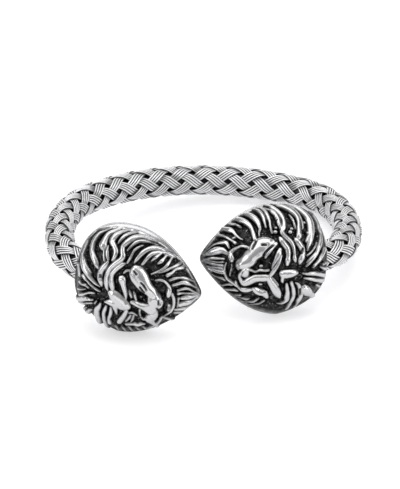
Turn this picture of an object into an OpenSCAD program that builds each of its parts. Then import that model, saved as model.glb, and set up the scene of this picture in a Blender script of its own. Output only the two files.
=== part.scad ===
// Lion head cuff bracelet: a braided silver tube bent into an open C, with a cast lion's head
// on each end, lying on its side on a table.

/* [Band] */
// Outer radius of the braided tube
band_r = 3.63; // [3.2:0.01:4.2]
// Wall of the braided tube: two layers of wire ribbon
braid_t = 0.88; // [0.7:0.01:1]
// Gap between the braid and the springy core
core_gap = 0.1; // [0.05:0.01:0.3]
// Bend radius of the back of the cuff
back_r = 41.7; // [38:0.1:46]
// Turn of each half of the back
back_angle = 39.3; // [36:0.1:42]
// Bend radius of the sides
side_r = 15.7; // [14:0.1:18]
// Turn of the right side, which is sprung further closed
side_angle_right = 43.2; // [36:0.1:46]
// Turn of the left side, which is sprung further open
side_angle_left = 10.6; // [8:0.1:20]
// Bend radius of the two fronts
front_r = 36.7; // [30:0.1:42]
// Turn of each front
front_angle = 37.2; // [34:0.1:40]
// Bend radius of the last stretch, behind the heads
neck_r = 14; // [12:0.1:18]
// Turn of the last stretch
neck_angle = 33; // [28:0.1:36]
// Straight end of the tube inside each head
stub_len = 3.6; // [3:0.1:5]
// Twist of the arms out of the flat: the right end is sprung up and the left end down
arm_twist = 2.7; // [0:0.1:4]

/* [Heads] */
// Length of the head behind its widest place
head_rear = 11.4; // [10:0.1:12]
// Length of the head from its widest place to the tip
head_front = 17.65; // [16:0.05:19]
// Half of the head's height at the groove floor of the mane
head_half = 12.5; // [11:0.1:13.5]
// Depth of the domed outer side at the groove floor
head_out = 8.2; // [7:0.1:9]
// Depth of the flatter side against the wrist
head_in = 4.6; // [4.5:0.1:6]
// How far both heads lean back about their length
head_lean = 15; // [0:0.5:20]
// How far the right head leans further back, and the left one less
head_turn = 10; // [0:0.5:12]
// Share by which the low rear corner of a head is drawn in
low_rear = 0.21; // [0:0.01:0.3]
// Angle between the tube's end and the head's length
head_set = 30; // [25:0.5:35]
// Where the tube ends in the head, along its length
seat_x = -8.9; // [-10:0.1:-8]
// Where the tube ends in the head, outwards
seat_y = 0.15; // [-1:0.05:1]
// Clearance round the tube in its socket
socket_gap = 0.1; // [0.05:0.01:0.3]

/* [Relief] */
// Height of a lock of the mane above its grooves
lock_h = 1; // [0.8:0.05:1.4]
// Width of a lock at its foot, as a share of the width that its row gives
lock_spread = 1.25; // [1:0.05:1.5]
// Least half width of a lock
lock_least = 0.42; // [0.3:0.01:0.6]
// Height of the smooth rim
rim_h = 0.45; // [0.3:0.05:0.6]
// Share of the relief that is left at the rim
rim_relief = 0.45; // [0.2:0.05:1]
// Turn of the sight line that the relief is laid out on, from straight outwards to the tip
sight_turn = 13.5; // [5:0.5:20]
// Lift of that sight line above the head's own level
sight_lift = 9; // [0:0.5:15]
// Cells along each side of the relief
cells = 44; // [24:2:48]

/* [Resting place] */
// Tilt about X, which brings the heads and the back down to the table
rest_tilt = -5.46; // [-12:0.01:0]
// Tilt about Y, which the twist asks for
rest_roll = 7.56; // [0:0.01:10]
// Turn about Z, which faces the opening
rest_turn = 12.85; // [0:0.01:20]
// Shift that centres the cuff on the origin, and lifts it onto the table
rest_shift = [5.07, -10.77, 10.16]; // [-50:0.01:50]

/* [Hidden] */
$fn = 64;
silver = "silver";
core_r = band_r - braid_t - core_gap;
// Powers of the head's outline behind and before its widest place, and of a lock's section
rear_power = 2.44;
front_power = 1.97;
ridge_power = 2.4;
// Least size that the head's rules divide by
tiny = 0.05;
// Width of the band at the rim where the relief fades, as a share of the dome
rim_fade = 0.12;
// Turn of the band between two rings of its mesh
ring_turn = 6;

// The broad locks and features of the relief, a row for each. A row's points lie on a chart of
// the raised head as it is looked at along the sight line, and the columns of a point are its
// place across towards the tip, its place up, both from the head's origin, and the half width
// there. The two heads were finished by hand, so each has its own rows.
// Left head: locks over the crown, and the forelocks that fall over the temple
left_crown = [
    [[-3.6, 12.2, 0.35], [-6, 10.2, 0.5], [-6.7, 8.2, 0.7], [-6, 6, 0.2], [-5.7, 4.9, 0.2]],
    [[0.5, 12.65, 0.1], [-3, 11.6, 0.4], [-4.6, 9.6, 0.5], [-3.5, 7.8, 0.45], [-3.6, 6, 0.35],
        [-3.9, 5.4, 0.2]],
    [[1.6, 12.35, 0.15], [-1.2, 11.5, 0.33], [-2.7, 9.9, 0.25], [-3, 9.3, 0.12]],
    [[8.6, 9, 0.3], [5.6, 9.4, 0.4], [3.3, 8.5, 0.42], [2.1, 7.1, 0.35], [1.2, 5.6, 0.12]],
    [[9.2, 8.2, 0.4], [6.4, 8.5, 0.3], [4.4, 7.4, 0.33], [3.3, 5.7, 0.25], [3, 5.4, 0.15]],
    [[-5, 4.6, 0.3], [-6.2, 2.6, 0.52], [-6.4, 0.6, 0.4], [-5.6, -1, 0.2]],
    [[5.6, 11, 0.25], [2.4, 11.6, 0.42], [-0.2, 10.7, 0.48], [-1.9, 8.9, 0.4], [-1.7, 6.8, 0.48],
        [-2.9, 5, 0.48], [-4.4, 3, 0.42], [-4.8, 1, 0.4], [-4.4, -1.2, 0.32], [-4, -1.9, 0.12]],
    [[-1, 5, 0.2], [-2.5, 3.8, 0.4], [-3.6, 2, 0.4], [-3.4, -0.3, 0.48], [-2.7, -2, 0.15]]
];
// Left head: locks of the far side, the rear, and beside the cheek
left_sides = [
    [[8.1, 7.4, 0.22], [7.5, 6.6, 0.33], [6.7, 6, 0.15]],
    [[12.2, 5.3, 0.3], [11, 4.9, 0.2], [10.2, 4.1, 0.25], [9.3, 3.5, 0.33]],
    [[10.8, 1.3, 0.2], [12.8, 2, 0.3], [15, 1.6, 0.2]],
    [[13.3, -1.8, 0.3], [14.6, -1.6, 0.4], [16, -1.3, 0.25]],
    [[13.1, -3.6, 0.4], [14.2, -3.2, 0.5], [15.4, -2.9, 0.4], [16, -2.4, 0.3]],
    [[12.1, -4.8, 0.2], [13, -4.7, 0.3], [14.2, -4.6, 0.35]],
    [[-6.3, 11.3, 0.2], [-8.4, 9.4, 0.4], [-9, 7, 0.4], [-8.5, 5.2, 0.5], [-7.5, 3.6, 0.42],
        [-7, 3, 0.25]],
    [[-11.3, 5, 0.2], [-11.5, 3, 0.3], [-11.4, 1.5, 0.3], [-11, 0, 0.35]],
    [[-10.6, 6.4, 0.3], [-10.8, 3, 0.48], [-9.4, 1, 0.5], [-7.8, -0.4, 0.3], [-6, -1.3, 0.12]],
    [[-10.2, 0.2, 0.33], [-9, -0.8, 0.2], [-7.4, -1.9, 0.2], [-5.8, -2.5, 0.15]],
    [[-10, -6.6, 0.45], [-9.2, -5.8, 0.5], [-8.2, -5.5, 0.3], [-7.2, -5.2, 0.18]],
    [[-8, -10.3, 0.38], [-7.8, -9.4, 0.33], [-7.5, -8.6, 0.25], [-7, -8.2, 0.12]],
    [[-5.3, -5.6, 0.2], [-6, -8, 0.5], [-5.6, -10.4, 0.58], [-5.3, -11.6, 0.5]],
    [[-3.9, -5.9, 0.2], [-4.3, -8.2, 0.33], [-3.8, -10.6, 0.38], [-3.4, -11.5, 0.35]],
    [[-2.8, -6.1, 0.2], [-2.7, -8, 0.33], [-2.6, -10.6, 0.42]]
];
// Left head: brow, nose, lips, muzzle, chin, cheek, and the ring round the far eye
left_face = [
    [[1.7, 4, 0.8], [3.1, 2, 1.4], [5, -0.1, 1], [6.9, -1.8, 1.05], [7, -3.4, 1]],
    [[8.3, -2.4, 0.2], [8.8, -3, 0.25], [8.6, -3.9, 0.33], [8.2, -4.4, 0.25]],
    [[-1.4, 1.7, 0.3], [-0.8, 0.2, 0.5], [0.1, -2, 0.35], [0.4, -3.2, 0.15]],
    [[1.8, -3.9, 0.3], [4.3, -4.7, 0.5], [6.5, -5.7, 0.95]],
    [[7.8, -5.4, 0.2], [7.1, -7.6, 0.95], [7.5, -9, 0.4]],
    [[0.9, -6.3, 0.3], [0.5, -7.6, 0.4], [0.1, -8.6, 0.45], [-0.4, -9.7, 0.45]],
    [[-3.4, -2.5, 0.5], [-2, -3.9, 1.2], [-0.2, -5.2, 1.1], [0.9, -5.3, 0.6]],
    [[-4.2, -4.9, 0.25], [-3.2, -5, 0.6], [-2, -5.2, 0.9]],
    [[-1.9, -6, 0.5], [-1.2, -7.5, 0.12]],
    [[6.6, 2.1, 0.1], [8.6, 2.1, 0.25], [10, 0.6, 0.38], [10.1, -1.3, 0.4]]
];
// Right head: locks over the crown, and the forelocks that fall over the temple
right_crown = [
    [[-3, 12.3, 0.3], [-6, 10.6, 0.5], [-8.1, 8.4, 0.65], [-8.6, 5.6, 0.65], [-8.3, 3.2, 0.5],
        [-7.6, 1.2, 0.25], [-7.4, 0.4, 0.15]],
    [[0.4, 12.5, 0.4], [-2, 11.2, 0.42], [-4.2, 9.7, 0.38], [-5.4, 7.8, 0.33], [-5.5, 5.8, 0.33],
        [-5.6, 3.8, 0.5], [-5.4, 3.1, 0.35]],
    [[1.7, 10.2, 0.15], [0, 9, 0.35], [-0.8, 7, 0.35], [-1.3, 5.4, 0.25]],
    [[4.4, 11.5, 0.25], [2.6, 10, 0.3], [1.6, 8, 0.33], [1.2, 6, 0.2], [0.8, 4.1, 0.15]],
    [[5.4, 11.2, 0.22], [3.5, 9.5, 0.33], [2.6, 7.4, 0.28], [2.2, 5.5, 0.12]],
    [[7.6, 9.8, 0.4], [5.4, 8.6, 0.5], [4.1, 7, 0.45], [3.6, 5.2, 0.25], [3.8, 3.4, 0.15]],
    [[9.6, 8.6, 0.4], [7.2, 7.4, 0.5], [5.7, 5.5, 0.4], [5, 3.5, 0.38], [4.8, 2.7, 0.33]],
    [[-4.6, 2.9, 0.2], [-5.8, 1.6, 0.55], [-6.5, -0.3, 0.35], [-5.9, -2.1, 0.45], [-5.6, -2.9, 0.2]],
    [[2.4, 12.4, 0.4], [0.6, 10.9, 0.4], [-1.1, 9.3, 0.35], [-2, 7.3, 0.35], [-2, 5.6, 0.42],
        [-1.9, 3.9, 0.4], [-3.6, 2.2, 0.4], [-4.3, 0.2, 0.3], [-4.5, -1.8, 0.38], [-4.6, -2.5, 0.15]],
    [[-1, 3, 0.2], [-2.2, 1.5, 0.5], [-3, -0.3, 0.48], [-2.9, -2.2, 0.48], [-2.7, -3.2, 0.3]]
];
// Right head: locks of the far side, the rear, and beside the cheek
right_sides = [
    [[11.8, 6, 0.4], [9.9, 4.9, 0.35], [8.4, 3.2, 0.2], [7.7, 2.7, 0.15]],
    [[10.8, 0.9, 0.2], [12.4, 2.3, 0.28], [14.6, 1.8, 0.2], [15.4, 1.3, 0.15]],
    [[11.2, -0.7, 0.2], [12.8, 0.6, 0.6], [15.2, 0.3, 0.55], [16.4, 0.1, 0.35]],
    [[12.1, -4.6, 0.35], [13.2, -4.4, 0.3], [14.3, -4, 0.25]],
    [[-8.9, 10, 0.3], [-10, 7.8, 0.33], [-10.4, 5.8, 0.33], [-10.7, 3, 0.35], [-10, 0.8, 0.35],
        [-9, -1.2, 0.25], [-7.7, -2.8, 0.2], [-7.1, -3.4, 0.15]],
    [[-11.8, 3, 0.15], [-11.3, 0.4, 0.35], [-10.3, -1.5, 0.33], [-9.1, -3, 0.25], [-8.6, -3.5, 0.15]],
    [[-11.6, -3.3, 0.35], [-11, -3.2, 0.25], [-10.4, -3.1, 0.15]],
    [[-11, -5, 0.4], [-8.6, -5, 0.4], [-6.2, -5.1, 0.1]],
    [[-10.8, -6.4, 0.45], [-9.4, -6.4, 0.4], [-8, -6.3, 0.3], [-6.6, -6.2, 0.15]],
    [[-6.6, -8.2, 0.3], [-7, -8.9, 0.8], [-7.6, -9.6, 0.8], [-8.2, -10, 0.5]],
    [[-4.6, -7.3, 0.15], [-5.6, -8.6, 0.35], [-5.8, -10.4, 0.4], [-4.9, -11.9, 0.25]],
    [[-3.6, -7.3, 0.3], [-4.1, -9.2, 0.35], [-3.8, -11, 0.35], [-3.3, -11.7, 0.3]],
    [[-2.5, -7.6, 0.25], [-2.7, -9.6, 0.4], [-2.4, -11.1, 0.4], [-0.2, -11.5, 0.1]]
];
// Right head: brow, nose, lips, muzzle, chin, cheek, and the ring round the far eye
right_face = [
    [[0.6, 2.1, 0.4], [2.6, 1.6, 1.3], [4.5, 0.1, 1.35], [6.2, -1.7, 1.3], [8.1, -2.9, 0.9]],
    [[-0.2, 1.6, 0.3], [1.4, -0.2, 0.35], [2.4, -1.8, 0.15]],
    [[-1.1, 0.2, 0.3], [-0.5, -1.4, 0.45], [0.6, -3.4, 0.2], [0.9, -4.2, 0.1]],
    [[-1.4, -1.2, 0.15], [-0.4, -3.6, 0.3], [0.9, -5.4, 0.35], [1.4, -6, 0.3]],
    [[1.6, -6.2, 0.4], [3.8, -6.4, 0.6], [6, -6.9, 0.65], [7.6, -7.3, 0.5], [8.5, -5.7, 0.3],
        [7.2, -4.3, 0.3]],
    [[7, -4.6, 0.5], [7.2, -5.4, 0.65]],
    [[1.6, -6.6, 0.5], [0.2, -8.8, 0.72], [-0.8, -10.3, 0.25]],
    [[6, 0.4, 0.15], [7.8, 1.1, 0.25], [9.8, 0.3, 0.3], [10.5, -1.1, 0.55], [10.3, -1.9, 0.45]],
    [[-4.9, -4.9, 0.4], [-3.1, -5.4, 0.75], [-1.5, -5.4, 0.5], [-1.3, -4.9, 0.2]],
    [[-1.6, -6, 0.35], [-1.5, -6.8, 0.3], [-1.6, -7.2, 0.15]],
    [[5.9, -8.7, 0.3], [7.8, -8.7, 0.4], [9.2, -7.4, 0.22], [9.4, -6.9, 0.25]],
    [[2.2, -10.3, 0.35], [3.8, -9.4, 0.6], [5.3, -8.6, 0.3]]
];
// Hills and hollows under the strokes: place across, place up, radius and height
hills = [
    [5, -3.2, 8, 1],
    [7.4, -3.6, 3, 0.8],
    [8.2, 0, 2.2, -1.4],
    [3.6, -2.4, 2, -0.9],
    [4, -7.9, 2, -0.8],
    [7.4, 4.4, 2.4, -0.6],
    [10, -4, 1.5, -1]
];

// The head's rule, in its own frame: X to the tip, Y outwards, Z up

// Share of the full section at a place from -1, the rear, to 1, the tip
function section(u) = u < 0
    ? pow(max(0, 1 - pow(-u, rear_power)), 1 / rear_power)
    : max(0, 1 - pow(u, front_power));
function along_x(u) = u < 0 ? u * head_rear : u * head_front;
function place_u(x) = x < 0 ? max(-0.999, x / head_rear) : min(0.995, x / head_front);
// Point of the smooth dome at a place of a round disc
function dome(p, q) = let (
    rise = asin(max(-1, min(1, q / sqrt(max(1e-9, 1 - p * p))))),
    k = section(p))
    [along_x(p), head_out * k * cos(rise), head_half * k * sin(rise)];
// The square's cells spread over the disc
function disc(s, t) = [s * sqrt(1 - t * t / 2), t * sqrt(1 - s * s / 2)];
function unit(v) = v / norm(v);

// The chart's directions in the head's frame
sight = [sin(sight_turn) * cos(sight_lift), cos(sight_turn) * cos(sight_lift), sin(sight_lift)];
chart_x = [cos(sight_turn), -sin(sight_turn), 0];
chart_y = [-sin(sight_turn) * sin(sight_lift), -cos(sight_turn) * sin(sight_lift), cos(sight_lift)];
// Slide a point along the sight line until it meets the dome
function across_sight(p) = p - (p * sight) * sight;
function on_dome(p, depth = 8, left = 7) = let (
    flat = across_sight(p),
    k = section(place_u((flat + depth * sight)[0])),
    sy = 1 / max(tiny, head_out * k),
    sz = 1 / max(tiny, head_half * k),
    a = pow(sight[1] * sy, 2) + pow(sight[2] * sz, 2),
    b = flat[1] * sight[1] * sy * sy + flat[2] * sight[2] * sz * sz,
    g = pow(flat[1] * sy, 2) + pow(flat[2] * sz, 2) - 1,
    found = (-b + sqrt(max(0, b * b - a * g))) / a)
    left == 0 ? flat + found * sight : on_dome(p, found, left - 1);
// The outward direction of the dome at a point on it
function slope(x, step = 0.01) = (section(place_u(x + step)) - section(place_u(x - step))) / (2 * step);
function dome_normal(p) = let (k = max(tiny, section(place_u(p[0]))))
    unit([-slope(p[0]) / k, p[1] / pow(head_out * k, 2), p[2] / pow(head_half * k, 2)]);
// The dome's point under a lock's crest that is seen at a chart place
function on_chart(c) = c[0] * chart_x + c[1] * chart_y;
function foot(p, found, left = 3) =
    left == 0 ? found : foot(p, on_dome(p - lock_h * dome_normal(found)), left - 1);
function crest_foot(c) = let (p = on_chart(c)) foot(p, on_dome(p));
// Smooth curve through points, with one extra point in each span
function between(p0, p1, p2, p3, t) = 0.5 * (2 * p1 + (p2 - p0) * t
    + (2 * p0 - 5 * p1 + 4 * p2 - p3) * t * t + (3 * p1 - p0 - 3 * p2 + p3) * t * t * t);
function smooth(pts) = let (n = len(pts) - 1) [
    for (i = [0 : n - 1], t = [0, 0.5])
        between(pts[max(0, i - 1)], pts[i], pts[i + 1], pts[min(n, i + 2)], t),
    pts[n]
];
// A stroke on the dome: points, half widths, and a ball that holds it
function stroke(pts) = let (
    spots = smooth(pts),
    on = [for (c = spots) crest_foot(c)],
    widths = [for (c = spots) max(lock_least, c[2] * lock_spread)],
    mid = (on[0] + on[len(on) - 1] + on[floor(len(on) / 2)]) / 3)
    [on, widths, mid, max([for (p = on) norm(p - mid)]) + max(widths)];
hill_balls = [for (h = hills) [on_dome(on_chart(h)), h[2], h[3]]];

// Height of a stroke at a share of its half width from its middle
function ridge(x) = x >= 1 ? 0 : lock_h * sqrt(1 - pow(x, ridge_power));
function span_height(p, a, b, w0, w1) = let (
    ab = b - a,
    f = max(0, min(1, (p - a) * ab / (ab * ab))))
    ridge(norm(p - a - f * ab) / (w0 + (w1 - w0) * f));
function stroke_height(p, s) = norm(p - s[2]) > s[3] ? 0
    : max([for (i = [0 : len(s[0]) - 2]) span_height(p, s[0][i], s[0][i + 1], s[1][i], s[1][i + 1])]);
function hill_height(p, h) = let (x = norm(p - h[0]) / h[1]) x >= 1 ? 0 : h[2] * pow(1 - x * x, 2);
function relief(p, strokes) = max([for (s = strokes) stroke_height(p, s)])
    + [for (h = hill_balls) hill_height(p, h)] * [for (h = hill_balls) 1];

// Relief side of the head: cells x cells, raised along the dome's normal
function dome_st(s, t) = let (d = disc(s, t)) dome(d[0], d[1]);
function normal_st(s, t) = let (
    e = 0.004,
    s1 = min(1, s + e), s0 = max(-1, s - e), t1 = min(1, t + e), t0 = max(-1, t - e))
    unit(cross(dome_st(s, t1) - dome_st(s, t0), dome_st(s1, t) - dome_st(s0, t)));
function rim_share(edge) = let (x = max(0, min(1, (1 - edge) / rim_fade)))
    rim_relief + (1 - rim_relief) * x * x * (3 - 2 * x);
function raised(s, t, strokes) = let (
    p = dome_st(s, t),
    edge = max(abs(s), abs(t)),
    height = relief(p, strokes) * rim_share(edge))
    p + normal_st(s, t) * (edge == 1 ? max(height, rim_h) : height);
function cell(i) = 2 * i / cells - 1;
function at(i, j) = i * (cells + 1) + j;
// The rim's points in order, and the rounded side against the wrist, in rings
rim = concat(
    [for (j = [0 : cells - 1]) at(0, j)], [for (i = [0 : cells - 1]) at(i, cells)],
    [for (j = [cells : -1 : 1]) at(cells, j)], [for (i = [cells : -1 : 1]) at(i, 0)]
);
// Each ring's share of the rim's outline
inner_rings = [0.975, 0.9, 0.74, 0.4];
// How square that side's edge is, how its depth falls towards the ends, and its middle
inner_power = 3;
inner_fall = 0.6;
inner_middle = [-1, -head_in, 0];
function inner_point(p, share) = let (
    depth = head_in * pow(max(0.02, section(place_u(p[0] * share))), inner_fall),
    sunk = pow(1 - pow(share, inner_power), 1 / inner_power))
    [inner_middle[0] + (p[0] - inner_middle[0]) * share, p[1] - (depth + p[1]) * sunk, p[2] * share];
around = len(rim);
first = (cells + 1) * (cells + 1);
function ring_at(m, r) = m < 0 ? rim[r % around] : first + m * around + r % around;
last_ring = len(inner_rings) - 1;
middle_point = first + len(inner_rings) * around;
// The low rear corner is drawn in
function drawn_in(p) = let (
    rear = max(0, min(1, -p[0] / head_rear)),
    low = max(0, min(1, -p[2] / head_half)))
    [p[0], p[1], p[2] * (1 - low_rear * rear * low)];
// All points of a head with its own strokes
function head_points(rows) = let (
    strokes = [for (pts = rows) stroke(pts)],
    outer = [for (i = [0 : cells], j = [0 : cells]) raised(cell(i), cell(j), strokes)],
    inner = [for (share = inner_rings, r = rim) inner_point(outer[r], share)])
    [for (p = concat(outer, inner, [inner_middle])) drawn_in(p)];
head_faces = concat(
    [for (i = [0 : cells - 1], j = [0 : cells - 1], half = [0, 1])
        half == 0 ? [at(i, j), at(i + 1, j), at(i + 1, j + 1)]
            : [at(i, j), at(i + 1, j + 1), at(i, j + 1)]],
    [for (m = [-1 : last_ring - 1], r = [0 : around - 1], half = [0, 1])
        half == 0 ? [ring_at(m, r), ring_at(m, r + 1), ring_at(m + 1, r + 1)]
            : [ring_at(m, r), ring_at(m + 1, r + 1), ring_at(m + 1, r)]],
    [for (r = [0 : around - 1]) [ring_at(last_ring, r), ring_at(last_ring, r + 1), middle_point]]
);

// The cuff's plane

// Each arm as bends: radius and turn, from the back to the head
function bends(side_angle) = [[side_r, side_angle], [front_r, front_angle], [neck_r, neck_angle]];
function turned(v, angle) =
    [v[0] * cos(angle) + v[1] * sin(angle), v[1] * cos(angle) - v[0] * sin(angle)];
function bent(r, angle) = [r * sin(angle), r * cos(angle) - r];
// Rings of an arm in its own frame, from the origin, heading along X and turning right:
// each is the middle and the turn so far
function arm_rings(list, i = 0, p = [0, 0], h = 0) = i == len(list)
    ? [[p + turned([stub_len, 0], h), h]]
    : let (r = list[i][0], angle = list[i][1], n = ceil(angle / ring_turn)) concat(
        [for (k = [1 : n]) let (a = k * angle / n) [p + turned(bent(r, a), h), h + a]],
        arm_rings(list, i + 1, p + turned(bent(r, angle), h), h + angle));
// Rings in the cuff's plane: the middle, the outward direction and the upward one
function twisted(v, twist) =
    [v[0], v[1] * cos(twist) - v[2] * sin(twist), v[1] * sin(twist) + v[2] * cos(twist)];
function swung(v) = let (flat = turned([v[0], v[1]], back_angle)) [flat[0], flat[1], v[2]];
arm_start = [back_r * sin(back_angle), back_r * cos(back_angle), 0];
function arm_to_cuff(ring, twist, side) = let (
    p = arm_start + swung(twisted([ring[0][0], ring[0][1], 0], twist)),
    n = swung(twisted([sin(ring[1]), cos(ring[1]), 0], twist)),
    u = swung(twisted([0, 0, 1], twist)))
    [for (v = [p, n, u]) [side * v[0], v[1], v[2]]];
right_rings = [for (ring = arm_rings(bends(side_angle_right))) arm_to_cuff(ring, -arm_twist, 1)];
left_rings = [for (ring = arm_rings(bends(side_angle_left))) arm_to_cuff(ring, arm_twist, -1)];
back_rings = let (n = ceil(back_angle / ring_turn)) [
    for (k = [-n : n]) let (a = k * back_angle / n, out = [sin(a), cos(a), 0])
        [back_r * out, out, [0, 0, 1]]
];
band_rings = concat([for (k = [len(left_rings) - 1 : -1 : 0]) left_rings[k]], back_rings, right_rings);

// A tube through the rings; with a hole it is a wall round a hollow
function ring_points(r, sides) = [
    for (ring = band_rings, k = [0 : sides - 1]) let (a = k * 360 / sides)
        ring[0] + r * (cos(a) * ring[1] + sin(a) * ring[2])
];
function skin(start, sides, inward) = [
    for (m = [0 : len(band_rings) - 2], k = [0 : sides - 1], half = [0, 1]) let (
        a = start + m * sides + k, b = start + m * sides + (k + 1) % sides,
        tri = half == 0 ? [a, b + sides, b] : [a, a + sides, b + sides])
        inward ? [tri[2], tri[1], tri[0]] : tri
];
module rod(r, sides) {
    end = (len(band_rings) - 1) * sides;
    polyhedron(points = ring_points(r, sides), faces = concat(
        skin(0, sides, false), [[for (k = [0 : sides - 1]) k]],
        [[for (k = [sides - 1 : -1 : 0]) end + k]]));
}
module sleeve(r, hole, sides) {
    end = (len(band_rings) - 1) * sides;
    hole_start = len(band_rings) * sides;
    polyhedron(points = concat(ring_points(r, sides), ring_points(hole, sides)), faces = concat(
        skin(0, sides, false), skin(hole_start, sides, true),
        [for (k = [0 : sides - 1], half = [0, 1]) let (a = k, b = (k + 1) % sides)
            half == 0 ? [b, hole_start + a, a] : [b, hole_start + b, hole_start + a]],
        [for (k = [0 : sides - 1], half = [0, 1]) let (a = end + k, b = end + (k + 1) % sides)
            half == 0 ? [a, hole_start + b, b] : [a, hole_start + a, hole_start + b]]));
}
module past_bend(radius, angle) {
    translate([radius * sin(angle), -radius * (1 - cos(angle)), 0]) rotate([0, 0, -angle]) children();
}
module arm_end(list, i = 0) {
    if (i < len(list)) past_bend(list[i][0], list[i][1]) arm_end(list, i + 1) children();
    else translate([stub_len, 0, 0]) children();
}
// The frame where the back meets an arm
module at_arm(twist) {
    translate([0, back_r, 0]) past_bend(back_r, back_angle) rotate([twist, 0, 0]) children();
}
module right_arm() {
    at_arm(-arm_twist) children();
}
module left_arm() {
    mirror([1, 0, 0]) at_arm(arm_twist) children();
}
module at_rest() {
    translate(rest_shift) rotate([rest_tilt, rest_roll, rest_turn]) children();
}
module lion_head(rows, turn) {
    difference() {
        rotate([0, 0, -head_set]) translate([-seat_x, -seat_y, 0]) rotate([turn, 0, 0])
            polyhedron(points = head_points(rows), faces = head_faces, convexity = 8);
        translate([-3 * stub_len, 0, 0]) rotate([0, 90, 0])
            cylinder(r = band_r + socket_gap, h = 3 * stub_len + socket_gap);
    }
}

module woven_sleeve() {
    color("gainsboro") at_rest() sleeve(band_r, band_r - braid_t, 16);
}
module core_rod() {
    color("dimgray") at_rest() rod(core_r, 10);
}
module left_lion_head() {
    color(silver) at_rest() left_arm() arm_end(bends(side_angle_left))
        lion_head(concat(left_crown, left_sides, left_face), head_lean - head_turn);
}
module right_lion_head() {
    color(silver) at_rest() right_arm() arm_end(bends(side_angle_right))
        lion_head(concat(right_crown, right_sides, right_face), head_lean + head_turn);
}

woven_sleeve();
core_rod();
left_lion_head();
right_lion_head();
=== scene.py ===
from math import ceil, cos, pi, radians, sin

import bpy
import numpy as np
from mathutils import Matrix, Vector


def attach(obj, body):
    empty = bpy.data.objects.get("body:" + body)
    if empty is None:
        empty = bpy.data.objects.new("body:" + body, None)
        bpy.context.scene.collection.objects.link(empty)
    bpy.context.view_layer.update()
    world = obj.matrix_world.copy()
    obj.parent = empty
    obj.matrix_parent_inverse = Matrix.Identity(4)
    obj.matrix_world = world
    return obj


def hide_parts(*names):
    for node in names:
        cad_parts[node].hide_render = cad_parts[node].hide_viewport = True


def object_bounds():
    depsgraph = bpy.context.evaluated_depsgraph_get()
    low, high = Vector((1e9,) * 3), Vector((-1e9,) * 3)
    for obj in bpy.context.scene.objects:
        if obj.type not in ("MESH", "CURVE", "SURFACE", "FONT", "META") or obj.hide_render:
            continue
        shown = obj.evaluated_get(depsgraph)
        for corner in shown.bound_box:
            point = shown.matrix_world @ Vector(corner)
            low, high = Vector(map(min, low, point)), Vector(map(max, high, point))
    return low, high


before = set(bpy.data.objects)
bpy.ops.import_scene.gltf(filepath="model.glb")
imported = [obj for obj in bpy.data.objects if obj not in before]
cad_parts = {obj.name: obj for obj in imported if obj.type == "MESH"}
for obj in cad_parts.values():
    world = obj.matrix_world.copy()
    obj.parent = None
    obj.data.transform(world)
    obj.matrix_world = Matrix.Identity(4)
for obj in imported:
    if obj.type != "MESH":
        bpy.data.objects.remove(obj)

# Lion head cuff bracelet: a braid of silver wire ribbons round a dark core, and two cast heads.
# Sizes are millimetres, as in the part's source; a mesh is turned to metres when it is made.
# The table, the lamps, and the camera's distance and clipping are in metres. Angles are degrees,
# apart from BRAID_TURN, which is radians.
MM = 0.001
CAD_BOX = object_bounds()

# The band
BAND_R = 3.63
CORE_R, CORE_SIDES = 2.65, 24
BACK_R, BACK_ANGLE = 41.7, 39.3
SIDE_R, SIDE_ANGLE_RIGHT, SIDE_ANGLE_LEFT = 15.7, 43.2, 10.6
FRONT_R, FRONT_ANGLE = 36.7, 37.2
NECK_R, NECK_ANGLE = 14, 33
STUB_LEN = 3.6
ARM_TWIST = 2.7
SPINE_TURN = 1.5

# The braid
RIBBONS = 5
WIRES = 4
WIRE_R = 0.23
WIRE_STEP = 0.53
CREST_ROOM = 0.07
BRAID_LEAD = 29.7
BRAID_LIFT = 0.25
BRAID_TURN = 0.377
BRAID_SHIFT = 0.8
STEPS_A_WAVE = 12
WIRE_SIDES = 8

# The domes of the heads, and how they sit on the band
HEAD_REAR, HEAD_FRONT = 11.4, 17.65
HEAD_HALF, HEAD_OUT, HEAD_IN = 12.5, 8.2, 4.6
HEAD_LEAN, HEAD_TURN = 15, 10
HEAD_SET = 30
SEAT_X, SEAT_Y = -8.9, 0.15
REAR_POWER, FRONT_POWER, INNER_POWER = 2.44, 1.97, 3
REAR_END, TIP_END = -0.999, 0.995
TIP_ROUND = 0.16
LOW_REAR = 0.21
INNER_MIDDLE_X = -1
INNER_LEAST, INNER_FULLNESS = 0.02, 0.6

# The relief of the heads: its locks, cuts and rim, and where they are polished
LOCK_H = 1.0
FULL_WIDTH, TALLEST = 0.6, 2.2
RIDGE_WIDTHS, RIDGE_POWERS = (0.6, 1.3), (2.3, 1.7)
STROKE_SPREAD, STROKE_FOOT = 1.4, 0.18
CURVE_STEPS = 4
EDGE_SHADE = 0.5
NEAR_RIM, PAST_RIM = 3.6, 1.5
GRAIN_HALF = 0.1
CUT_DEPTH, CUT_DARK = 0.35, 0.9
RIM_RELIEF, RIM_FADE = 0.45, 0.12
RIM_H, RIM_BAND = 0.45, 0.02
# The polished rim band gets painted shade towards its low side: it is darkest below RIM_LOW and fully bright
# above RIM_HIGH.
RIM_LOW, RIM_HIGH = 1.0, 5.0
LOW_RIM_SHADED_POLISH = 0.4

# The sight line of the charts, and the steps in which a point is slid along it
SIGHT_TURN, SIGHT_LIFT = 13.5, 9
SLIDE_START, SLIDE_STEPS, CREST_STEPS = 8.0, 8, 4

# The mesh of a head
CELLS = 284
INNER_RINGS = 12
SLOPE_STEP = 0.004
TINY = 0.05

# The resting place
REST_TILT, REST_ROLL, REST_TURN = -5.46, 7.56, 12.85
REST_SHIFT = (5.07, -10.77, 10.16)

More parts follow.
